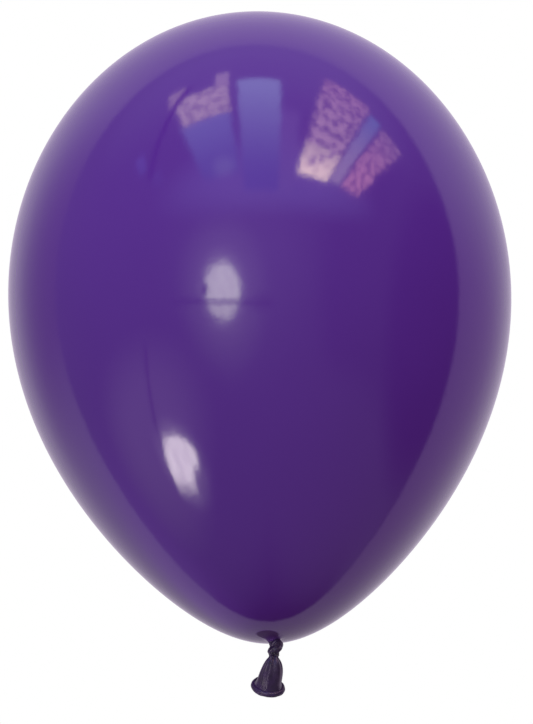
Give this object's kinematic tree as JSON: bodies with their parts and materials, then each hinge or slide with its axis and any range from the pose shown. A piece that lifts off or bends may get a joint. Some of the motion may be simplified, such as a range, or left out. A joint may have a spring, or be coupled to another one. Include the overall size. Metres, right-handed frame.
{
  "type": "latex balloon",
  "caption": "Inflated pear-shaped latex party balloon, tied off, with an overhand knot, a short flared tail and a rolled mouth bead.",
  "frame": {"origin": "the neck tie: the pole at the bottom of the inflated film, where it gathers into the tied neck", "axes": "+Z along the balloon's axis from the neck to the crown, the way a helium balloon points; +X to the right and +Y away as seen from the front; the tail leans to -X and bends back to +Y"},
  "size_m": [0.2812, 0.2812, 0.3996],
  "materials": {
    "stretched_latex": "glossy violet film",
    "slack_latex": "satin, darker where the rubber is not stretched"
  },
  "bodies": {
    "balloon": {"envelope": "stretched_latex", "neck_collar": "slack_latex"},
    "stem": {"neck_stem": "slack_latex"},
    "knot": {"neck_knot": "slack_latex"},
    "tail": {"neck_tail": "slack_latex", "mouth_bead": "slack_latex"}
  },
  "joints": [
    {"name": "neck_twist", "type": "hinge", "parent": "balloon", "child": "stem", "pos_m": [0, 0, 0], "axis": [0, 0, 1], "range_deg": [-90, 90], "stiffness_Nm_per_rad": 0.0005},
    {"name": "neck_swing", "type": "hinge", "parent": "stem", "child": "knot", "pos_m": [0, 0, -0.0019], "axis": [0, 1, 0], "range_deg": [-25, 25], "stiffness_Nm_per_rad": 0.001},
    {"name": "tail_swing", "type": "hinge", "parent": "knot", "child": "tail", "pos_m": [0, 0, -0.0104], "axis": [1, 0, 0], "range_deg": [-60, 30], "stiffness_Nm_per_rad": 0.001}
  ]
}
